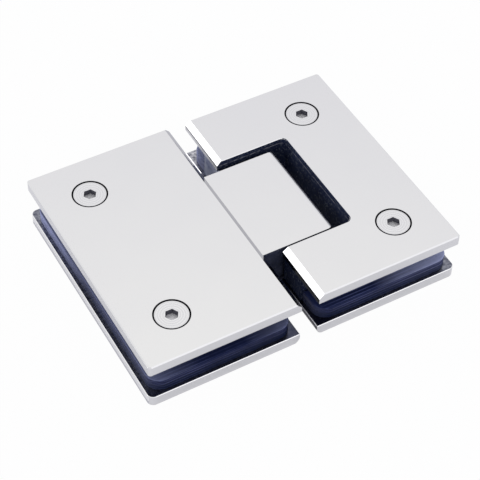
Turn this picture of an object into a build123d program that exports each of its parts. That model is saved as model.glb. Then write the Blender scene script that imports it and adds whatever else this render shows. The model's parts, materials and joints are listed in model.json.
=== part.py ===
from build123d import *
import math
import os

os.makedirs("parts", exist_ok=True)

# Glass door hinge that joins a swinging glass door to a fixed glass panel, in millimetres.
# It lies open and flat on its rear plates: +Z up, the pivot axis along Y at mid thickness.
# The fixed clamp is at -X and the swing clamp is at +X.
# The origin is under the middle of the whole hinge, on the surface that it lies on.

# Clamp plates, the same for both clamps
plate_height = 90.0
plate_width = 53.8
plate_thickness = 4.1
plate_bevel = 0.4
edge_break = 0.2
front_corner_radius = 1.0
rear_corner_radius = 2.2
clamp_gap = 6.4
front_facing_chamfer = 1.8
rear_facing_radius = 2.8

# Layers between the plates, from the rear plate to the front plate
rear_gasket_thickness = 2.4
packer_thickness = 2.0
glass_slot = 6.0
front_gasket_thickness = 0.8
gasket_inset = 1.5
gasket_corner_radius = 5.0
gasket_clearance = 0.3

# Notch in both swing plates, around the knuckle block
notch_height = 44.2
notch_clearance = 5.6
notch_corner_radius = 2.2
notch_lip = 0.2

# Knuckle block on the fixed clamp
washer_space = 2.05
block_length = 27.0
block_recess = 2.2
block_gap = 0.2
block_corner_radius = 2.4
block_nose_radius = 1.6

# Bosses cast in one with the rear plates
fixed_boss_length = 27.0
boss_corner_radius = 1.5
arm_width = 10.8
swing_boss_inset = 1.0
swing_boss_web = 4.5

# Clamp screws, two in each clamp, with a cheese head that lies just under the face
screw_boss_distance = 6.9
screw_end_distance = 15.7
head_diameter = 11.2
head_height = 2.8
head_recess = 0.15
head_clearance = 0.5
head_edge_break = 0.1
socket_across_flats = 4.0
socket_depth = 2.0
shank_diameter = 6.0
shank_clearance = 0.2
thread_clearance = 0.05
blind_clearance = 1.0
blind_wall = 1.0

# Screw posts on the rear plates, with a nylon sleeve that keeps the glass off the metal
post_diameter = 9.5
post_height = 7.0
sleeve_clearance = 0.2
sleeve_wall = 1.05
sleeve_end_clearance = 0.3

# Pivot pin, its bushes, washers and dowels
pin_diameter = 8.0
pin_setback = 11.6
pin_end_wall = 1.8
pin_chamfer = 0.6
pin_flat_depth = 0.5
running_clearance = 0.05
pin_relief = 0.15
bush_wall = 1.5
bush_length = 8.0
bush_clearance = 0.03
washer_wall = 1.8
washer_clearance = 0.05
dowel_diameter = 3.0
dowel_clearance = 0.05
dowel_end_clearance = 0.3

# Two sprung plungers that hold the door at its stops
plunger_pitch = 11.0
plunger_diameter = 7.0
plunger_length = 5.0
plunger_clearance = 0.1
plunger_nose_chamfer = 0.6
plunger_tip_clearance = 0.1
spring_wire = 1.1
spring_outer_diameter = 6.4
spring_pocket_depth = 12.0
spring_turns = 6
spring_end_clearance = 0.02

# Screws that hold the knuckle block on the boss of the fixed rear plate
block_screw_web = 2.4
block_screw_diameter = 4.0
block_screw_head_diameter = 7.0
block_screw_head_height = 4.0
block_screw_length = 18.0
block_screw_depth = 7.5
block_screw_socket = 3.0
block_screw_socket_depth = 2.0
block_screw_clearance = 0.25

# How far a cut runs past the face that it opens
overcut = 1.0

# Places worked out from the sizes above
plate_gap = rear_gasket_thickness + packer_thickness + glass_slot + front_gasket_thickness
total_thickness = 2 * plate_thickness + plate_gap
mid_z = total_thickness / 2
inner_rear_z = plate_thickness
inner_front_z = plate_thickness + plate_gap
rear_gasket_top = inner_rear_z + rear_gasket_thickness
packer_top = rear_gasket_top + packer_thickness
front_gasket_bottom = inner_front_z - front_gasket_thickness

fixed_edge_x = -clamp_gap / 2
swing_edge_x = clamp_gap / 2
fixed_outer_x = fixed_edge_x - plate_width
swing_outer_x = swing_edge_x + plate_width
half_height = plate_height / 2
notch_half = notch_height / 2

block_half = notch_half - washer_space
block_left_x = fixed_edge_x + block_gap
block_right_x = block_left_x + block_length
notch_wall_x = block_right_x + notch_clearance
block_bottom_z = block_recess
block_top_z = total_thickness - block_recess
pin_x = block_right_x - pin_setback
pin_radius = pin_diameter / 2

fixed_boss_left_x = block_left_x - fixed_boss_length
swing_boss_left_x = swing_edge_x + swing_boss_inset
swing_boss_right_x = notch_wall_x + swing_boss_web
swing_boss_half = notch_half + arm_width

sides = (-1, 1)
swing_screw_x = swing_boss_right_x + screw_boss_distance
fixed_screw_x = -swing_screw_x
screw_y = half_height - screw_end_distance
head_top_z = total_thickness - head_recess
head_seat_z = head_top_z - head_height
screw_tip_z = blind_wall + blind_clearance
sleeve_bore_radius = post_diameter / 2 + sleeve_clearance
sleeve_radius = sleeve_bore_radius + sleeve_wall
sleeve_top_z = front_gasket_bottom - sleeve_end_clearance

bush_radius = pin_radius + running_clearance + bush_wall
pin_half_length = swing_boss_half - pin_end_wall
pin_flat_length = plunger_pitch + plunger_diameter
dowel_y = (notch_half + pin_half_length) / 2
dowel_bottom_z = inner_rear_z + dowel_end_clearance
dowel_top_z = inner_front_z - dowel_end_clearance
plunger_tip_x = pin_x - pin_radius - plunger_tip_clearance
plunger_back_x = plunger_tip_x - plunger_length
spring_start_x = block_left_x - spring_pocket_depth
plunger_bore_radius = plunger_diameter / 2 + plunger_clearance
plunger_y = plunger_pitch / 2
block_screw_y = plunger_y + plunger_bore_radius + block_screw_web + block_screw_diameter / 2
block_screw_tip_x = block_left_x + block_screw_depth
block_screw_seat_x = block_screw_tip_x - block_screw_length


def slab(x0, x1, y0, y1, z0, z1):
    middle = Pos((x0 + x1) / 2, (y0 + y1) / 2, (z0 + z1) / 2)
    return middle * Box(x1 - x0, y1 - y0, z1 - z0)


def rounded_slab(x0, x1, half_y, z0, z1, radius):
    body = slab(x0, x1, -half_y, half_y, z0, z1)
    return fillet(body.edges().filter_by(Axis.Z), radius)


def rod_x(x0, x1, y, z, radius):
    return Pos((x0 + x1) / 2, y, z) * Rot(0, 90, 0) * Cylinder(radius, x1 - x0)


def rod_y(x, y0, y1, z, radius):
    return Pos(x, (y0 + y1) / 2, z) * Rot(90, 0, 0) * Cylinder(radius, y1 - y0)


def rod_z(x, y, z0, z1, radius):
    return Pos(x, y, (z0 + z1) / 2) * Cylinder(radius, z1 - z0)


def hexagon_radius(across_flats):
    return across_flats / 2 / math.cos(math.pi / 6)


def notch_cutter():
    # The mouth runs past the plate's edge, and the inner corners are rounded.
    mouth = plate_bevel + overcut
    body = slab(swing_edge_x - mouth, notch_wall_x, -notch_half, notch_half, -overcut, total_thickness + overcut)
    inner = body.edges().filter_by(Axis.Z).group_by(Axis.X)[-1]
    return fillet(inner, notch_corner_radius)


def notch_lips():
    # A small bevel round the notch where it meets each outer face.
    mouth = plate_bevel + overcut
    middle_x = (swing_edge_x - mouth + notch_wall_x) / 2
    outline = Rectangle(notch_wall_x - swing_edge_x + mouth, notch_height)
    lips = []
    for face_z, side in ((total_thickness, 1), (0.0, -1)):
        wide = offset(outline, notch_lip, kind=Kind.INTERSECTION)
        corner = wide.vertices().group_by(Axis.X)[-1]
        wide = fillet(corner, notch_corner_radius)
        lip = extrude(wide, notch_lip, dir=(0, 0, -1), taper=45)
        if side < 0:
            lip = mirror(lip, Plane.XY)
        lips.append(Pos(middle_x, 0, face_z) * lip)
    return lips


def facing_round(outer_x, inner_x):
    # What the rounded edge takes off a rear plate.
    centre_x = inner_x + math.copysign(rear_facing_radius, outer_x - inner_x)
    beyond_x = inner_x - math.copysign(overcut, outer_x - inner_x)
    reach = half_height + overcut
    corner = slab(min(centre_x, beyond_x), max(centre_x, beyond_x), -reach, reach, -overcut, rear_facing_radius)
    return corner - rod_y(centre_x, -reach, reach, rear_facing_radius, rear_facing_radius)


def clamp_plate(outer_x, inner_x, is_front):
    # The long edge that faces the other clamp has a wide chamfer on the front plate.
    # On the rear plate it is rounded on its rear side.
    z0 = inner_front_z if is_front else 0.0
    z1 = total_thickness if is_front else inner_rear_z
    body = slab(min(outer_x, inner_x), max(outer_x, inner_x), -half_height, half_height, z0, z1)
    corners = body.edges().filter_by(Axis.Z).group_by(Axis.X)
    outer_corners = corners[0] if outer_x < inner_x else corners[-1]
    body = fillet(outer_corners, front_corner_radius if is_front else rear_corner_radius)
    if is_front:
        long_edges = body.edges().filter_by(Axis.Y)
        body = chamfer(long_edges.sort_by_distance((inner_x, 0, z1))[0], front_facing_chamfer)
    # A bevel runs round the front plate's outer face, and the other faces have their edges broken.
    for z, size in ((z1, plate_bevel if is_front else edge_break), (z0, edge_break)):
        face = body.faces().sort_by_distance(((outer_x + inner_x) / 2, 0, z))[0]
        chamfer_x = inner_x + math.copysign(front_facing_chamfer, outer_x - inner_x)
        rim = face.edges()
        if is_front and z == z1:
            rim = rim.filter_by(lambda edge: abs(edge.center().X - chamfer_x) > edge_break)
        body = chamfer(rim, size)
    return body if is_front else body - facing_round(outer_x, inner_x)


def with_head_holes(plate, x):
    for sign in sides:
        y = sign * screw_y
        hole_radius = head_diameter / 2 + head_clearance
        plate -= rod_z(x, y, head_seat_z, total_thickness + overcut, hole_radius)
        plate -= rod_z(x, y, inner_front_z - overcut, total_thickness, shank_diameter / 2 + shank_clearance)
    return plate


def with_posts(plate, x):
    # Threaded posts take the clamp screws. Their holes are blind, so the outer face is plain.
    for sign in sides:
        y = sign * screw_y
        plate += rod_z(x, y, blind_wall, inner_rear_z + post_height, post_diameter / 2)
        hole_radius = shank_diameter / 2 + thread_clearance
        plate -= rod_z(x, y, blind_wall, inner_rear_z + post_height + overcut, hole_radius)
    return plate


def gasket(x0, x1, z0, z1, boss, screw_x, hole_radius):
    left = x0 + gasket_inset
    right = x1 - gasket_inset
    body = rounded_slab(left, right, half_height - gasket_inset, z0, z1, gasket_corner_radius)
    body -= boss
    for sign in sides:
        body -= rod_z(screw_x, sign * screw_y, z0 - overcut, z1 + overcut, hole_radius)
    return body


def clamp_screw(x, y):
    head = rod_z(x, y, head_seat_z, head_top_z, head_diameter / 2)
    head = chamfer(head.edges().filter_by(GeomType.CIRCLE).sort_by(Axis.Z)[-1], head_edge_break)
    screw = head + rod_z(x, y, screw_tip_z, head_top_z - socket_depth, shank_diameter / 2)
    hexagon = RegularPolygon(hexagon_radius(socket_across_flats), 6)
    socket = extrude(hexagon, socket_depth + overcut)
    return screw - Pos(x, y, head_top_z - socket_depth) * socket


def sleeve(x, y):
    ring = rod_z(x, y, inner_rear_z, sleeve_top_z, sleeve_radius)
    return ring - rod_z(x, y, inner_rear_z - overcut, sleeve_top_z + overcut, sleeve_bore_radius)


def fixed_boss(z0, z1, extra):
    left = fixed_boss_left_x - extra
    right = block_left_x
    body = slab(left, right, -block_half - extra, block_half + extra, z0, z1)
    corners = body.edges().filter_by(Axis.Z).group_by(Axis.X)[0]
    return fillet(corners, boss_corner_radius)


def swing_boss(z0, z1, extra):
    left = swing_boss_left_x
    right = swing_boss_right_x + extra
    body = slab(left, right, -swing_boss_half - extra, swing_boss_half + extra, z0, z1)
    corners = body.edges().filter_by(Axis.Z).group_by(Axis.X)[-1]
    return fillet(corners, boss_corner_radius)


def make_fixed_rear_plate():
    plate = clamp_plate(fixed_outer_x, fixed_edge_x, False)
    plate = with_posts(plate, fixed_screw_x)
    plate += fixed_boss(block_bottom_z, inner_front_z, 0)
    head_radius = block_screw_head_diameter / 2 + block_screw_clearance
    shank_radius = block_screw_diameter / 2 + block_screw_clearance
    for sign in sides:
        y = sign * block_screw_y
        plate -= rod_x(fixed_boss_left_x - overcut, block_screw_seat_x, y, mid_z, head_radius)
        plate -= rod_x(fixed_boss_left_x, block_left_x + overcut, y, mid_z, shank_radius)
        y = sign * plunger_y
        plate -= rod_x(spring_start_x, block_left_x + overcut, y, mid_z, plunger_bore_radius)
    return plate


def make_swing_rear_plate():
    plate = clamp_plate(swing_outer_x, swing_edge_x, False)
    plate = with_posts(plate, swing_screw_x)
    plate += swing_boss(blind_wall, inner_front_z, 0)
    plate -= notch_cutter()
    plate -= notch_lips()[1]
    plate -= rod_y(pin_x, -half_height, half_height, mid_z, pin_radius + running_clearance)
    dowel_hole = dowel_diameter / 2 + dowel_clearance
    for sign in sides:
        plate -= rod_z(pin_x, sign * dowel_y, dowel_bottom_z, inner_front_z + overcut, dowel_hole)
    return plate


def make_swing_front_plate():
    plate = clamp_plate(swing_outer_x, swing_edge_x, True)
    plate = with_head_holes(plate, swing_screw_x)
    plate -= notch_cutter()
    return plate - notch_lips()[0]


def make_knuckle_block():
    # The nose is rounded over, and the long edges on both sides of it stay sharp.
    blank = slab(block_left_x, block_right_x, -block_half, block_half, block_bottom_z, block_top_z)
    corners = blank.edges().filter_by(Axis.Z).group_by(Axis.X)[-1]
    nose = blank.edges().filter_by(Axis.Y).group_by(Axis.X)[-1]
    body = fillet(corners, block_corner_radius) & fillet(nose, block_nose_radius)
    body -= rod_y(pin_x, -notch_half, notch_half, mid_z, pin_radius + pin_relief)
    for sign in sides:
        outer = sign * notch_half
        inner = sign * (block_half - bush_length)
        seat = bush_radius + bush_clearance
        body -= rod_y(pin_x, min(outer, inner), max(outer, inner), mid_z, seat)
        y = sign * plunger_y
        body -= rod_x(block_left_x - overcut, pin_x, y, mid_z, plunger_bore_radius)
        y = sign * block_screw_y
        hole_end = block_screw_tip_x + blind_clearance
        body -= rod_x(block_left_x - overcut, hole_end, y, mid_z, block_screw_diameter / 2 + thread_clearance)
    return body


def make_pivot_pin():
    pin = rod_y(pin_x, -pin_half_length, pin_half_length, mid_z, pin_radius)
    pin = chamfer(pin.edges().filter_by(GeomType.CIRCLE), pin_chamfer)
    # Four flats in the middle meet the plungers at the door's stops.
    for turn in range(4):
        flat = Box(2 * pin_radius, pin_flat_length, 2 * pin_radius)
        flat = Pos(2 * pin_radius - pin_flat_depth, 0, 0) * flat
        pin -= Pos(pin_x, 0, mid_z) * Rot(0, 90 * turn, 0) * flat
    for sign in sides:
        hole_radius = dowel_diameter / 2 + dowel_clearance
        pin -= rod_z(pin_x, sign * dowel_y, mid_z - pin_diameter, mid_z + pin_diameter, hole_radius)
    return pin


def make_bush(sign):
    inner = sign * (block_half - bush_length)
    outer = sign * block_half
    low = min(inner, outer)
    high = max(inner, outer)
    ring = rod_y(pin_x, low, high, mid_z, bush_radius)
    return ring - rod_y(pin_x, low - overcut, high + overcut, mid_z, pin_radius + running_clearance)


def make_washer(sign):
    inner = sign * (block_half + washer_clearance)
    outer = sign * (notch_half - washer_clearance)
    low = min(inner, outer)
    high = max(inner, outer)
    ring = rod_y(pin_x, low, high, mid_z, pin_radius + washer_wall)
    return ring - rod_y(pin_x, low - overcut, high + overcut, mid_z, pin_radius + running_clearance)


def make_dowel(y):
    return rod_z(pin_x, y, dowel_bottom_z, dowel_top_z, dowel_diameter / 2)


def make_plunger(y):
    body = rod_x(plunger_back_x, plunger_tip_x, y, mid_z, plunger_diameter / 2)
    nose = body.edges().filter_by(GeomType.CIRCLE).sort_by(Axis.X)[-1]
    return chamfer(nose, plunger_nose_chamfer)


def make_spring(y):
    # A round wire coil between the pocket's floor and the plunger's back.
    start = spring_start_x + spring_wire / 2 + spring_end_clearance
    end = plunger_back_x - spring_wire / 2 - spring_end_clearance
    radius = (spring_outer_diameter - spring_wire) / 2
    pitch = (end - start) / spring_turns
    line = Helix(pitch, end - start, radius, center=(0, 0, 0), direction=(0, 0, 1))
    wire = Plane(origin=line @ 0, z_dir=line % 0) * Circle(spring_wire / 2)
    coil = sweep(wire, path=line, is_frenet=True)
    return Pos(start, y, mid_z) * Rot(0, 90, 0) * coil


def make_block_screw(y):
    head_start = block_screw_seat_x - block_screw_head_height
    screw = rod_x(head_start, block_screw_seat_x, y, mid_z, block_screw_head_diameter / 2)
    screw += rod_x(head_start + block_screw_socket_depth, block_screw_tip_x, y, mid_z, block_screw_diameter / 2)
    hexagon = RegularPolygon(hexagon_radius(block_screw_socket), 6)
    socket = extrude(hexagon, block_screw_socket_depth + overcut)
    return screw - Pos(head_start - overcut, y, mid_z) * Rot(0, 90, 0) * socket


# Every piece under the name of its node
nodes = {}
nodes["fixed_front_plate"] = with_head_holes(clamp_plate(fixed_outer_x, fixed_edge_x, True), fixed_screw_x)
nodes["fixed_rear_plate"] = make_fixed_rear_plate()
nodes["swing_front_plate"] = make_swing_front_plate()
nodes["swing_rear_plate"] = make_swing_rear_plate()
nodes["knuckle_block"] = make_knuckle_block()
nodes["pivot_pin"] = make_pivot_pin()

layers = [
    ("rear_gasket", inner_rear_z, rear_gasket_top, sleeve_radius + gasket_clearance),
    ("packer", rear_gasket_top, packer_top, sleeve_radius + gasket_clearance),
    ("front_gasket", front_gasket_bottom, inner_front_z, shank_diameter / 2 + gasket_clearance),
]
for layer, z0, z1, hole_radius in layers:
    boss = fixed_boss(z0 - overcut, z1 + overcut, gasket_clearance)
    edges = (fixed_outer_x, fixed_edge_x)
    nodes["fixed_" + layer] = gasket(*edges, z0, z1, boss, fixed_screw_x, hole_radius)
    boss = swing_boss(z0 - overcut, z1 + overcut, gasket_clearance)
    edges = (swing_edge_x, swing_outer_x)
    nodes["swing_" + layer] = gasket(*edges, z0, z1, boss, swing_screw_x, hole_radius)

for sign, place in zip(sides, ("lower", "upper")):
    for clamp, x in (("fixed", fixed_screw_x), ("swing", swing_screw_x)):
        nodes[clamp + "_clamp_screw_" + place] = clamp_screw(x, sign * screw_y)
        nodes[clamp + "_sleeve_" + place] = sleeve(x, sign * screw_y)
    nodes["pin_bush_" + place] = make_bush(sign)
    nodes["thrust_washer_" + place] = make_washer(sign)
    nodes["plunger_" + place] = make_plunger(sign * plunger_y)
    nodes["plunger_spring_" + place] = make_spring(sign * plunger_y)
    nodes["block_screw_" + place] = make_block_screw(sign * block_screw_y)
    nodes["pin_dowel_" + place] = make_dowel(sign * dowel_y)

for name, shape in nodes.items():
    export_step(shape, "parts/" + name + ".step")
    print(name, len(shape.solids()), round(shape.volume, 1))
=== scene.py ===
import bmesh
import bpy
import json
import math
from mathutils import Matrix, Vector


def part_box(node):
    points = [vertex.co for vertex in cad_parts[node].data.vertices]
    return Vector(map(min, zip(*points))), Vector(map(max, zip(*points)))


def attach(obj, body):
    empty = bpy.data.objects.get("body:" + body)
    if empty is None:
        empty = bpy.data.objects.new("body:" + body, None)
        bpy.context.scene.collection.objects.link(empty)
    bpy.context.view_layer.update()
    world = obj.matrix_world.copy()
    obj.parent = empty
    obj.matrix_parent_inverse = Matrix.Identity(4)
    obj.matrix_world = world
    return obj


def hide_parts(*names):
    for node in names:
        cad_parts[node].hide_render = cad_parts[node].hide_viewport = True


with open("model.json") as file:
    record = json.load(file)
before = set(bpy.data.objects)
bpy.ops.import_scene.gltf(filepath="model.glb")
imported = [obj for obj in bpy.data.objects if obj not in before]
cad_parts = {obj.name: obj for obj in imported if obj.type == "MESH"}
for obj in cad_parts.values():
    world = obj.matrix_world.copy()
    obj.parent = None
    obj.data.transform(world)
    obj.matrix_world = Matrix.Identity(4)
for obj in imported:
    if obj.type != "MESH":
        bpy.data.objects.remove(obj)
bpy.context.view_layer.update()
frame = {"nodes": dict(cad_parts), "record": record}

MM = 0.001


# Places on the hinge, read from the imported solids, in metres

block_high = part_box("knuckle_block")[1]
front_low, front_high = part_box("swing_front_plate")
gasket_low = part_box("swing_rear_gasket")[0]
screw_low, screw_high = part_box("swing_clamp_screw_upper")

SCREW_X = (screw_low.x + screw_high.x) / 2
SCREW_Y = (screw_low.y + screw_high.y) / 2
HEAD_TOP = screw_high.z
HEAD_RADIUS = (screw_high.x - screw_low.x) / 2
PLATE_SIDE = front_high.x
PLATE_END = front_high.y
FACE_TOP = front_high.z
FRONT_PLATE_BOTTOM = front_low.z
REAR_PLATE_TOP = gasket_low.z
FACING_EDGE = front_low.x
CHAMFER_DEPTH = 1.8 * MM
CHAMFER_FOOT = FACE_TOP - CHAMFER_DEPTH
BLOCK_HALF = block_high.y

FIXED_MIDDLE = -30 * MM
CLEARANCE = 0.7 * MM
SOCKET_RADIUS = 2.5 * MM
SOCKET_DEPTH = 2.0 * MM
NOTCH_GAP = 3.0 * MM
NOTCH_REACH = 8.0 * MM
NOTCH_END = block_high.x + NOTCH_REACH
CHAMFER_REACH = 2.0 * MM
ROUNDING_REACH = 3.0 * MM
POST_REACH = 8.0 * MM
LINE_PITCH = 1.2 * MM

# Small slacks for finding a face by its place
TRACE = 0.01 * MM
HAIR = 0.02 * MM
NEARLY = 0.05 * MM

# Limits on a face's normal, for a face straight on an axis, a sloped one and an upright one
STRAIGHT = 0.9
SLOPED = 0.4
UPRIGHT = 0.3


# Small helpers for node trees

def new_material(name, metallic=0.0, specular=0.5, roughness=0.5):
    material = bpy.data.materials.new(name)
    material.use_nodes = True
    tree = material.node_tree
    shader = tree.nodes["Principled BSDF"]
    shader.inputs["Metallic"].default_value = metallic
    shader.inputs["Specular IOR Level"].default_value = specular
    shader.inputs["Roughness"].default_value = roughness
    return material, tree, shader


def add(tree, kind, **values):
    node = tree.nodes.new(kind)
    for key, value in values.items():
        setattr(node, key, value)
    return node


def place_of(tree):
    return add(tree, "ShaderNodeTexCoord").outputs["Object"]


def parts_of(tree, vector):
    node = add(tree, "ShaderNodeSeparateXYZ")
    tree.links.new(vector, node.inputs[0])
    return tuple(node.outputs)


def noise(tree, place, scale, detail=3.0, roughness=0.5):
    node = add(tree, "ShaderNodeTexNoise")
    node.inputs["Scale"].default_value = scale
    node.inputs["Detail"].default_value = detail
    node.inputs["Roughness"].default_value = roughness
    tree.links.new(place, node.inputs["Vector"])
    return node.outputs["Fac"]


def ramp(tree, value, low, high, dark, light):
    node = add(tree, "ShaderNodeMapRange")
    for socket, number in zip(("From Min", "From Max", "To Min", "To Max"), (low, high, dark, light)):
        node.inputs[socket].default_value = number
    tree.links.new(value, node.inputs["Value"])
    return node.outputs["Result"]


def maths(tree, operation, first, second):
    node = add(tree, "ShaderNodeMath", operation=operation)
    for socket, value in zip(node.inputs, (first, second)):
        if isinstance(value, (int, float)):
            socket.default_value = value
        else:
            tree.links.new(value, socket)
    return node.outputs["Value"]


def product(tree, first, second):
    return maths(tree, "MULTIPLY", first, second)


def larger(tree, first, second):
    return maths(tree, "MAXIMUM", first, second)


def distance_from(tree, value, middle=0):
    return maths(tree, "ABSOLUTE", maths(tree, "SUBTRACT", value, middle), 0)


def spread(tree, cloud, low, high):
    # A cloud of noise lies mostly between 0.3 and 0.7.
    return ramp(tree, cloud, 0.3, 0.7, low, high)


def on_fixed_clamp(tree, across):
    return ramp(tree, across, -1 * MM, 0, 1, 0)


def on_swing_clamp(tree, across):
    return ramp(tree, across, 0, 1 * MM, 0, 1)


def bump(tree, shader, height, strength, distance):
    node = add(tree, "ShaderNodeBump")
    node.inputs["Strength"].default_value = strength
    node.inputs["Distance"].default_value = distance
    tree.links.new(height, node.inputs["Height"])
    tree.links.new(node.outputs["Normal"], shader.inputs["Normal"])


def mixed_colour(tree, factor, dark, light):
    node = add(tree, "ShaderNodeMix", data_type="RGBA")
    for socket, colour in (("A", dark), ("B", light)):
        if isinstance(colour, tuple):
            node.inputs[socket].default_value = (*colour, 1)
        else:
            tree.links.new(colour, node.inputs[socket])
    tree.links.new(factor, node.inputs["Factor"])
    return node.outputs["Result"]


def tint(tree, shader, factor, dark, light):
    tree.links.new(mixed_colour(tree, factor, dark, light), shader.inputs["Base Color"])


def cloudy_gloss(tree, shader, cloud, smooth, rough):
    tree.links.new(spread(tree, cloud, smooth, rough), shader.inputs["Roughness"])


# Materials of the plates, the block and the screws

def chrome(name, dark, light):
    # Bright plating with a trace of buffing haze and very shallow waves.
    material, tree, shader = new_material(name, metallic=1.0)
    place = place_of(tree)
    tint(tree, shader, noise(tree, place, 60, 4), dark, light)
    cloudy_gloss(tree, shader, noise(tree, place, 260, 5, 0.6), 0.05, 0.10)
    bump(tree, shader, noise(tree, place, 35, 2), 0.05, 0.0004)
    return material


def inner_face():
    # The plates' inner faces keep their dull first plating. Painted shade darkens it near the facing
    # edges, and it is lighter on the far arm, as a painted reflection.
    material, tree, shader = new_material("inner_face", metallic=1.0, roughness=0.22)
    place = place_of(tree)
    across, along = parts_of(tree, place)[:2]
    out_of_painted_shade = ramp(tree, distance_from(tree, across), 8 * MM, 14 * MM, 0.12, 1.0)
    out_of_painted_shade = larger(tree, out_of_painted_shade, ramp(tree, along, 0, 26 * MM, 0.0, 1.0))
    blotches = ramp(tree, noise(tree, place, 700, 4, 0.65), 0.30, 0.72, 0.0, 1.0)
    far_arm_lit = product(tree, ramp(tree, along, 0, 30 * MM, 0, 1), on_swing_clamp(tree, across))
    plating_and_painted_reflection = mixed_colour(tree, far_arm_lit, (0.36, 0.37, 0.42), (0.78, 0.78, 0.82))
    tint(tree, shader, product(tree, out_of_painted_shade, blotches), (0.05, 0.055, 0.09), plating_and_painted_reflection)
    return material


def facing_side():
    # The upright side under the swing plate's chamfer: painted shade makes it dark on the near arm
    # and just under the chamfer.
    material, tree, shader = new_material("facing_side", metallic=1.0, roughness=0.12)
    place = place_of(tree)
    along, up = parts_of(tree, place)[1:]
    lit_far_half = ramp(tree, along, -12 * MM, 24 * MM, 0.0, 1.0)
    lit_below_chamfer = ramp(tree, up, CHAMFER_FOOT - 0.8 * MM, CHAMFER_FOOT - 0.4 * MM, 1.0, 0.0)
    grain = spread(tree, noise(tree, place, 500, 3), 0.8, 1.0)
    lit_share = product(tree, product(tree, lit_far_half, lit_below_chamfer), grain)
    tint(tree, shader, lit_share, (0.010, 0.012, 0.022), (0.78, 0.78, 0.80))
    return material


def lit_and_shaded_side():
    # The left side of the fixed rear plate: a painted reflection brighter than the chrome above, and
    # painted shade in a greyer band along its foot.
    material, tree, shader = new_material("lit_and_shaded_side", metallic=1.0, roughness=0.10)
    place = place_of(tree)
    up = parts_of(tree, place)[2]
    wavy = maths(tree, "ADD", up, spread(tree, noise(tree, place, 90, 2), -0.2 * MM, 0.2 * MM))
    height = ramp(tree, wavy, 1.3 * MM, 1.8 * MM, 0.0, 1.0)
    tint(tree, shader, height, (0.62, 0.62, 0.66), (0.98, 0.98, 0.98))
    return material


def highlit_inner_edge():
    # The inner edge of the near arm: a painted highlight towards its corner, fading to painted shade
    # further in.
    material, tree, shader = new_material("highlit_inner_edge", specular=0.1)
    place = place_of(tree)
    along = parts_of(tree, place)[1]
    highlight_share = ramp(tree, along, -40 * MM, -27 * MM, 1.0, 0.0)
    highlight_share = product(tree, highlight_share, spread(tree, noise(tree, place, 400, 3), 0.8, 1.0))
    tint(tree, shader, highlight_share, (0.012, 0.015, 0.035), (0.90, 0.90, 0.95))
    return material


def turned_face():
    # Rings left by the lathe, centred on each of the four screws.
    material, tree, shader = new_material("turned_face", metallic=1.0)
    mirrored = add(tree, "ShaderNodeVectorMath", operation="ABSOLUTE")
    tree.links.new(place_of(tree), mirrored.inputs[0])
    centred = add(tree, "ShaderNodeMapping")
    centred.inputs["Location"].default_value = (-SCREW_X, -SCREW_Y, 0)
    tree.links.new(mirrored.outputs[0], centred.inputs["Vector"])
    rings = add(tree, "ShaderNodeTexWave", wave_type="RINGS", rings_direction="Z")
    for socket, value in (("Scale", 360), ("Distortion", 2.5), ("Detail", 2), ("Detail Scale", 0.6)):
        rings.inputs[socket].default_value = value
    tree.links.new(centred.outputs["Vector"], rings.inputs["Vector"])
    cut = rings.outputs["Fac"]
    tint(tree, shader, cut, (0.76, 0.76, 0.77), (0.84, 0.84, 0.85))
    tree.links.new(ramp(tree, cut, 0, 1, 0.24, 0.14), shader.inputs["Roughness"])
    bump(tree, shader, cut, 0.4, 0.00005)
    return material


def painted_highlight_line(tree, place, up):
    # A painted highlight line just under the top of the notch wall, in patches.
    over = ramp(tree, up, CHAMFER_FOOT - 0.6 * MM, CHAMFER_FOOT - 0.4 * MM, 0, 1)
    under = ramp(tree, up, CHAMFER_FOOT - 0.25 * MM, CHAMFER_FOOT - 0.05 * MM, 1, 0)
    patches = ramp(tree, noise(tree, place, 500, 2), 0.35, 0.62, 0, 0.4)
    return product(tree, product(tree, over, under), patches)


def wall_with_painted_light(name, dark, light, specks):
    # Painted light on walls, with fine dust: dark navy painted shade in the notch, on the block
    # and between the plates, and a pale painted reflection on the far arm's side.
    material, tree, shader = new_material(name, specular=0.02)
    place = place_of(tree)
    up = parts_of(tree, place)[2]
    cloud = noise(tree, place, 180, 4, 0.6)
    painted_tone = mixed_colour(tree, spread(tree, cloud, 0, 1), dark, light)
    dust = ramp(tree, noise(tree, place, 1300, 2, 0.7), 0.54, 0.70, 0, specks)
    dust_and_painted_light = mixed_colour(tree, dust, painted_tone, (0.16, 0.18, 0.21))
    tint(tree, shader, painted_highlight_line(tree, place, up), dust_and_painted_light, (0.5, 0.5, 0.55))
    cloudy_gloss(tree, shader, cloud, 0.5, 0.7)
    bump(tree, shader, cloud, 0.1, 0.0002)
    return material


def painted_recess_shade():
    # Painted shade: the narrow ring round each screw head, near black on the hole's wall and floor
    # and on the head's side.
    material, tree, shader = new_material("painted_recess_shade", specular=0.05, roughness=0.45)
    cloud = noise(tree, place_of(tree), 700, 3)
    tint(tree, shader, cloud, (0.006, 0.006, 0.016), (0.02, 0.02, 0.035))
    return material


def socket_steel(name, dark, light, metallic):
    # Raw forged steel in the hexagon, in a shaded and a lit copy: dark walls as painted shade, and a
    # pale floor as painted light.
    material, tree, shader = new_material(name, metallic=metallic, specular=0.2)
    tint(tree, shader, noise(tree, place_of(tree), 900, 3), dark, light)
    return material


# Materials of the layers between the plates

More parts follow.
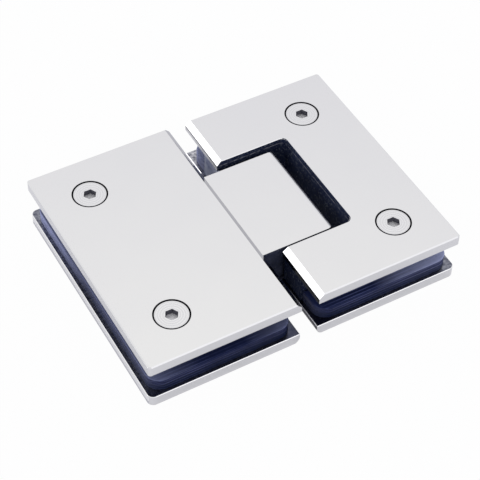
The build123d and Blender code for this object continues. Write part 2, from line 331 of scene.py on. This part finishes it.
def highlight_lines(tree, across, along, up):
    # Painted highlight lines, parallel to the sheet's outline.
    sideways = distance_from(tree, across)
    from_facing = maths(tree, "SUBTRACT", sideways, FACING_EDGE)
    from_outside = maths(tree, "SUBTRACT", PLATE_SIDE, sideways)
    from_side = maths(tree, "MINIMUM", from_outside, from_facing)
    from_end = maths(tree, "SUBTRACT", PLATE_END, distance_from(tree, along))
    level = maths(tree, "SUBTRACT", up, maths(tree, "MINIMUM", from_side, from_end))
    wave = maths(tree, "SINE", product(tree, level, 2 * math.pi / LINE_PITCH), 0)
    return ramp(tree, wave, 0.1, 1.0, 0.0, 1.0)


def highlight_streaks(tree, place, across, along, up):
    # The painted highlight lines show in patches, and hardly at the swing clamp's facing edge.
    patches = ramp(tree, noise(tree, place, 60, 2), 0.38, 0.62, 0, 1)
    clear = ramp(tree, distance_from(tree, across, FACING_EDGE), 3 * MM, 14 * MM, 0.1, 1.0)
    return product(tree, highlight_lines(tree, across, along, up), product(tree, patches, clear))


def painted_sheen(tree, across, along):
    # A painted sheen: on the sheet's left side towards its far end, faintly on its near side,
    # and on its top towards the ends.
    normal = add(tree, "ShaderNodeTexCoord").outputs["Normal"]
    facing_x, facing_y, facing_z = parts_of(tree, normal)
    left = ramp(tree, facing_x, -0.9, -0.2, 1, 0)
    left = product(tree, left, ramp(tree, along, 4 * MM, 46 * MM, 0.06, 0.95))
    outer = ramp(tree, across, 26 * MM, 54 * MM, 0.0, 1.0)
    near = product(tree, ramp(tree, facing_y, -0.9, -0.2, 0.05, 0), outer)
    ends = ramp(tree, distance_from(tree, across, FIXED_MIDDLE), 8 * MM, 27 * MM, 0, 0.35)
    ends = product(tree, ends, on_fixed_clamp(tree, across))
    far_arm_lit = ramp(tree, along, 10 * MM, 40 * MM, 0, 0.7)
    far_arm_lit = product(tree, far_arm_lit, on_swing_clamp(tree, across))
    top = larger(tree, larger(tree, outer, ends), far_arm_lit)
    top = product(tree, top, ramp(tree, facing_z, 0.2, 0.9, 0, 1))
    return larger(tree, larger(tree, left, near), top)


def seal(name, low, high, sheen_colour, gloss, scale):
    # Soft navy sheet with painted highlight streaks and a painted sheen.
    material, tree, shader = new_material(name, specular=gloss)
    place = place_of(tree)
    across, along, up = parts_of(tree, place)
    cloud = noise(tree, place, scale, 4, 0.6)
    navy_with_highlights = mixed_colour(tree, highlight_streaks(tree, place, across, along, up), low, high)
    sheen = product(tree, painted_sheen(tree, across, along), spread(tree, cloud, 0.7, 1.0))
    tint(tree, shader, sheen, navy_with_highlights, sheen_colour)
    cloudy_gloss(tree, shader, cloud, 0.25, 0.40)
    bump(tree, shader, noise(tree, place, scale * 4, 3), 0.1, 0.0002)
    return material


# Materials of the small pieces

def plain_metal(name, low, high, rough, scale):
    material, tree, shader = new_material(name, metallic=1.0)
    cloud = noise(tree, place_of(tree), scale, 4)
    tint(tree, shader, cloud, low, high)
    cloudy_gloss(tree, shader, cloud, rough, rough + 0.1)
    return material


def plain_plastic(name, low, high, rough, scale):
    material, tree, shader = new_material(name)
    cloud = noise(tree, place_of(tree), scale, 3)
    tint(tree, shader, cloud, low, high)
    cloudy_gloss(tree, shader, cloud, rough, rough + 0.12)
    return material


finishes = {
    "chrome_plate": chrome("polished_chrome", (0.81, 0.81, 0.82), (0.835, 0.835, 0.835)),
    "turned_screw": turned_face(),
    "navy_gasket": seal(
        "navy_gasket", low=(0.007, 0.011, 0.036), high=(0.030, 0.040, 0.105),
        sheen_colour=(0.42, 0.46, 0.74), gloss=0.08, scale=500,
    ),
    "navy_packer": seal(
        "navy_packer", low=(0.017, 0.025, 0.085), high=(0.11, 0.135, 0.32),
        sheen_colour=(0.52, 0.57, 0.88), gloss=0.10, scale=160,
    ),
    "white_nylon": plain_plastic("white_nylon", (0.74, 0.74, 0.70), (0.80, 0.80, 0.77), 0.42, 500),
    "dark_acetal": plain_plastic("dark_acetal", (0.02, 0.02, 0.024), (0.03, 0.03, 0.034), 0.35, 500),
    "ground_steel": plain_metal("ground_steel", (0.50, 0.50, 0.51), (0.60, 0.60, 0.60), 0.22, 400),
    "spring_steel": plain_metal("spring_steel", (0.28, 0.28, 0.29), (0.38, 0.38, 0.39), 0.25, 500),
    "zinc_screw": plain_metal("zinc_screw", (0.55, 0.55, 0.53), (0.66, 0.66, 0.65), 0.28, 400),
    "bush_bronze": plain_metal("bush_bronze", (0.50, 0.32, 0.14), (0.62, 0.42, 0.20), 0.30, 600),
}
# A darker copy of the packer's navy for the packers' sides: painted shade.
SHADED_PACKER_SIDE = seal(
    "shaded_packer_side", low=(0.009, 0.013, 0.050), high=(0.058, 0.070, 0.180),
    sheen_colour=(0.46, 0.51, 0.84), gloss=0.08, scale=300,
)
# A dimmed copy of the chrome on the fixed plate's facing chamfer: painted shade.
SHADED_FACING_CHAMFER = chrome("facing_chamfer", (0.49, 0.49, 0.52), (0.52, 0.52, 0.55))
# A brighter copy of the chrome on the rear plates' outer bevels: painted highlight.
HIGHLIGHT_EDGE = chrome("highlight_edge", (0.95, 0.95, 0.96), (0.97, 0.97, 0.97))
SHADED_FACING_SIDE = facing_side()
INNER_FACE = inner_face()
# A near-black copy of the chrome on the swing rear plate's facing edge: painted shade.
SHADED_REAR_FACING = chrome("rear_facing", (0.04, 0.04, 0.052), (0.06, 0.06, 0.075))
# A dull grey copy of the block's chrome on its rounded free end: painted reflection.
BLOCK_NOSE = plain_metal("block_nose", (0.50, 0.50, 0.55), (0.58, 0.58, 0.62), 0.35, 300)
LIT_AND_SHADED_SIDE = lit_and_shaded_side()
HIGHLIT_INNER_EDGE = highlit_inner_edge()
# Painted shade on the walls in the notch and between the plates.
PAINTED_WALL_SHADE = wall_with_painted_light("wall_with_painted_light", (0.008, 0.012, 0.034), (0.022, 0.030, 0.068), 0.6)
# Painted shade on the block's sides.
PAINTED_BLOCK_SHADE = wall_with_painted_light("painted_block_shade", (0.009, 0.012, 0.030), (0.065, 0.073, 0.12), 0.5)
# Painted reflection, pale and mottled, on the far arm's inner side.
PAINTED_WALL_REFLECTION = wall_with_painted_light("painted_wall_reflection", (0.27, 0.31, 0.50), (0.80, 0.84, 1.0), 0.2)
RECESS_SHADE = painted_recess_shade()
SHADED_SOCKET_WALL = socket_steel("socket_wall", (0.06, 0.06, 0.08), (0.13, 0.13, 0.16), 0.0)
LIT_SOCKET_FLOOR = socket_steel("socket_floor", (0.74, 0.74, 0.77), (0.86, 0.86, 0.88), 0.6)

slot_of = {row["node"]: row["material_slot"] for row in frame["record"]["subparts"]}
for node, piece in frame["nodes"].items():
    piece.data.materials.clear()
    piece.data.materials.append(finishes[slot_of[node]])


# Second finishes on some faces of the plates, the block, the screws and the packers,
# mostly painted shade, highlights and reflections

def paint(piece, finish, belongs):
    mesh = piece.data
    mesh.materials.append(finish)
    index = len(mesh.materials) - 1
    for face in mesh.polygons:
        if belongs(face.center, face.normal):
            face.material_index = index


def from_screw(centre):
    return Vector((abs(centre.x) - SCREW_X, abs(centre.y) - SCREW_Y)).length


def beside_block(centre):
    return abs(centre.y) < BLOCK_HALF + NOTCH_GAP


def in_notch(centre, normal):
    inside = beside_block(centre) and FACING_EDGE + HAIR < centre.x < NOTCH_END
    return abs(normal.z) < UPRIGHT and inside


def between_plates(centre, normal):
    inside = REAR_PLATE_TOP - TRACE < centre.z < FRONT_PLATE_BOTTOM + TRACE
    return abs(normal.z) < UPRIGHT and inside


def far_arm_side(centre, normal):
    outside = centre.x < FACING_EDGE + CHAMFER_REACH and centre.y > BLOCK_HALF
    return normal.x < -STRAIGHT and outside and centre.z > REAR_PLATE_TOP - TRACE


def inner_top(centre, normal):
    return normal.z > STRAIGHT and abs(centre.z - REAR_PLATE_TOP) < NEARLY


def facing_chamfer(centre, normal):
    return normal.x > 0.5 and abs(centre.x) < FACING_EDGE + CHAMFER_REACH


def facing_upright(centre, normal):
    return normal.x < -STRAIGHT and abs(centre.x) < FACING_EDGE + NEARLY


def rear_facing(centre, normal):
    at_edge = abs(centre.x) < FACING_EDGE + ROUNDING_REACH and centre.z < REAR_PLATE_TOP
    return normal.x < -0.2 and normal.z < UPRIGHT and at_edge


def near_inner_edge(centre, normal):
    at_edge = centre.x < FACING_EDGE + CLEARANCE and centre.y < 0
    return normal.x < -SLOPED and normal.z > SLOPED and at_edge


def left_side(centre, normal):
    return normal.x < -STRAIGHT and centre.x < -SCREW_X - HEAD_RADIUS


def notch_lip(centre, normal):
    inside = beside_block(centre) and centre.x > FACING_EDGE + CLEARANCE
    return SLOPED < normal.z < STRAIGHT and max(normal.y, -normal.x) > SLOPED and inside


def block_nose(centre, normal):
    return normal.x > 0.25 and normal.z > -0.1


def outer_bevel(centre, normal):
    return normal.z > SLOPED and max(-normal.x, -normal.y) > SLOPED


def head_hole(centre, normal):
    return from_screw(centre) < HEAD_RADIUS + CLEARANCE and centre.z < FACE_TOP - HAIR


def head_side(centre, normal):
    return from_screw(centre) > HEAD_RADIUS - CLEARANCE and centre.z < HEAD_TOP - HAIR


def socket_wall(centre, normal):
    return from_screw(centre) < SOCKET_RADIUS and abs(normal.z) < UPRIGHT


def socket_floor(centre, normal):
    at_floor = abs(centre.z - HEAD_TOP + SOCKET_DEPTH) < NEARLY
    return from_screw(centre) < SOCKET_RADIUS and at_floor


def block_side(centre, normal):
    near_edge = normal.y < -SLOPED and normal.z > SLOPED
    return abs(normal.y) > STRAIGHT or near_edge


def sheet_side(centre, normal):
    return normal.z < 0.5


cad = frame["nodes"]
for clamp in ("fixed", "swing"):
    rear_plate = cad[clamp + "_rear_plate"]
    paint(rear_plate, PAINTED_WALL_SHADE, between_plates)
    paint(rear_plate, INNER_FACE, inner_top)
    paint(rear_plate, HIGHLIGHT_EDGE, outer_bevel)
    paint(cad[clamp + "_front_plate"], RECESS_SHADE, head_hole)
    for place in ("lower", "upper"):
        screw = cad[clamp + "_clamp_screw_" + place]
        paint(screw, RECESS_SHADE, head_side)
        paint(screw, SHADED_SOCKET_WALL, socket_wall)
        paint(screw, LIT_SOCKET_FLOOR, socket_floor)
for node, finish, belongs in (
    ("swing_rear_plate", PAINTED_WALL_SHADE, in_notch),
    ("swing_rear_plate", PAINTED_WALL_REFLECTION, far_arm_side),
    ("swing_rear_plate", SHADED_REAR_FACING, rear_facing),
    ("swing_rear_plate", HIGHLIT_INNER_EDGE, near_inner_edge),
    ("swing_front_plate", PAINTED_WALL_SHADE, in_notch),
    ("swing_front_plate", PAINTED_WALL_SHADE, notch_lip),
    ("swing_front_plate", SHADED_FACING_SIDE, facing_upright),
    ("fixed_front_plate", SHADED_FACING_CHAMFER, facing_chamfer),
    ("fixed_rear_plate", LIT_AND_SHADED_SIDE, left_side),
    ("knuckle_block", BLOCK_NOSE, block_nose),
    ("knuckle_block", PAINTED_BLOCK_SHADE, block_side),
):
    paint(cad[node], finish, belongs)


# Packers and rear gaskets, copied from the solids and given soft upper edges

GASKET_SOFTNESS = 0.30 * MM
PACKER_SOFTNESS = 0.35 * MM
WELD = 0.001 * MM
FLAT_ANGLE = 0.01
FLAT = 0.999


def new_piece(name, shape):
    mesh = bpy.data.meshes.new(name)
    shape.to_mesh(mesh)
    shape.free()
    piece = bpy.data.objects.new(name, mesh)
    bpy.context.collection.objects.link(piece)
    return piece


def on_upper_rim(edge):
    if len(edge.link_faces) != 2:
        return False
    middle = (edge.verts[0].co + edge.verts[1].co) / 2
    highest = max(face.normal.z for face in edge.link_faces)
    lowest = min(abs(face.normal.z) for face in edge.link_faces)
    return highest > STRAIGHT and lowest < 0.1 and from_screw(middle) > POST_REACH


def soft_sheet(node, radius):
    shape = bmesh.new()
    shape.from_mesh(cad[node].data)
    bmesh.ops.remove_doubles(shape, verts=shape.verts, dist=WELD)
    bmesh.ops.dissolve_limit(shape, angle_limit=FLAT_ANGLE, verts=shape.verts, edges=shape.edges)
    rim = [edge for edge in shape.edges if on_upper_rim(edge)]
    bmesh.ops.bevel(
        shape, geom=rim, offset=radius, segments=3, profile=0.5, affect="EDGES", material=-1,
    )
    for face in shape.faces:
        face.smooth = max(abs(part) for part in face.normal) < FLAT
    piece = new_piece(node + "_soft", shape)
    piece.data.materials.append(finishes[slot_of[node]])
    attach(piece, "fixed_clamp" if node.startswith("fixed") else "swing_clamp")
    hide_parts(node)
    return piece


for clamp in ("fixed", "swing"):
    soft_sheet(clamp + "_rear_gasket", GASKET_SOFTNESS)
    paint(soft_sheet(clamp + "_packer", PACKER_SOFTNESS), SHADED_PACKER_SIDE, sheet_side)


# Floor

FLOOR_HALF_WIDTH = 3.0
FLOOR_GLOW = 0.97
FLOOR_GLOW_IN_METAL = 0.25
SHADE_ACROSS = 16 * MM
SHADE_ALONG = 30 * MM


def outside_shade(tree):
    # Under the knuckle the floor lies in deep shade.
    across, along = parts_of(tree, place_of(tree))[:2]
    beyond = maths(tree, "GREATER_THAN", distance_from(tree, across), SHADE_ACROSS)
    beside = maths(tree, "GREATER_THAN", distance_from(tree, along), SHADE_ALONG)
    return larger(tree, beyond, beside)


def pale_floor():
    material, tree, shader = new_material("pale_floor", specular=0.1, roughness=0.7)
    open_floor = outside_shade(tree)
    # Painted shadow: under the knuckle the floor is coloured dark and does not glow.
    tint(tree, shader, open_floor, (0.05, 0.05, 0.08), (0.74, 0.74, 0.79))
    paths = add(tree, "ShaderNodeLightPath").outputs
    seen = larger(tree, paths["Is Camera Ray"], paths["Is Transmission Ray"])
    seen = product(tree, product(tree, seen, open_floor), FLOOR_GLOW)
    mirrored = product(tree, paths["Is Glossy Ray"], FLOOR_GLOW_IN_METAL)
    glow = add(tree, "ShaderNodeEmission")
    glow.inputs["Strength"].default_value = 1.0
    mix = add(tree, "ShaderNodeMixShader")
    sources = (larger(tree, seen, mirrored), shader.outputs[0], glow.outputs[0])
    for source, socket in zip(sources, mix.inputs):
        tree.links.new(source, socket)
    tree.links.new(mix.outputs[0], tree.nodes["Material Output"].inputs["Surface"])
    return material


def make_floor():
    shape = bmesh.new()
    bmesh.ops.create_grid(shape, x_segments=1, y_segments=1, size=FLOOR_HALF_WIDTH)
    floor = new_piece("floor", shape)
    floor.data.materials.append(pale_floor())


make_floor()


# Light

SKY = (
    (0.00, (0.90, 0.90, 0.91)),
    (0.27, (0.90, 0.90, 0.91)),
    (0.45, (0.76, 0.76, 0.79)),
    (0.66, (0.86, 0.855, 0.885)),
    (0.81, (1.00, 0.995, 0.985)),
    (1.00, (1.00, 1.00, 0.99)),
)


def world_light():
    # A pale studio: light at the horizon, a little darker above it, and brightest overhead.
    world = bpy.data.worlds.new("studio")
    bpy.context.scene.world = world
    world.use_nodes = True
    tree = world.node_tree
    height = parts_of(tree, add(tree, "ShaderNodeTexCoord").outputs["Generated"])[2]
    sky = add(tree, "ShaderNodeValToRGB")
    stops = sky.color_ramp.elements
    for number, (place, colour) in enumerate(SKY):
        stop = stops[number] if number < 2 else stops.new(place)
        stop.position = place
        stop.color = (*colour, 1)
    tree.links.new(height, sky.inputs["Fac"])
    tree.links.new(sky.outputs["Color"], tree.nodes["Background"].inputs["Color"])
    tree.nodes["Background"].inputs["Strength"].default_value = 1.0


def softbox(name, place, size, power):
    lamp = bpy.data.lights.new(name, "AREA")
    lamp.shape = "RECTANGLE"
    lamp.size, lamp.size_y = size
    lamp.energy = power
    piece = bpy.data.objects.new(name, lamp)
    piece.location = place
    piece.rotation_mode = "QUATERNION"
    piece.rotation_quaternion = (-Vector(place)).to_track_quat("-Z", "Y")
    bpy.context.collection.objects.link(piece)


world_light()
softbox("back_left_softbox", place=(-0.66, 0.53, 0.41), size=(0.6, 0.26), power=0.5)
softbox("front_softbox", place=(0.31, -0.67, 0.52), size=(0.5, 0.36), power=0.15)


# Camera, fitted to the edges of the hinge in the photograph

CAMERA_PLACE = Vector((-174.10, -296.19, 383.80)) * MM
CAMERA_FORWARD = Vector((0.339776, 0.577914, -0.742003))
CAMERA_RIGHT = Vector((0.871734, -0.489655, 0.017811))
CAMERA_FOCUS_PIXELS = 1517.40
IMAGE_PIXELS = 480
SENSOR_WIDTH = 36


def make_camera():
    data = bpy.data.cameras.new("camera")
    data.sensor_width = SENSOR_WIDTH
    data.lens = CAMERA_FOCUS_PIXELS / IMAGE_PIXELS * SENSOR_WIDTH
    data.clip_start = 0.01
    data.clip_end = 20
    camera = bpy.data.objects.new("camera", data)
    back = -CAMERA_FORWARD.normalized()
    up = back.cross(CAMERA_RIGHT).normalized()
    right = up.cross(back).normalized()
    turn = Matrix((right, up, back)).transposed()
    camera.matrix_world = Matrix.Translation(CAMERA_PLACE) @ turn.to_4x4()
    bpy.context.collection.objects.link(camera)
    bpy.context.scene.camera = camera


make_camera()
bpy.context.scene.view_settings.view_transform = "Standard"
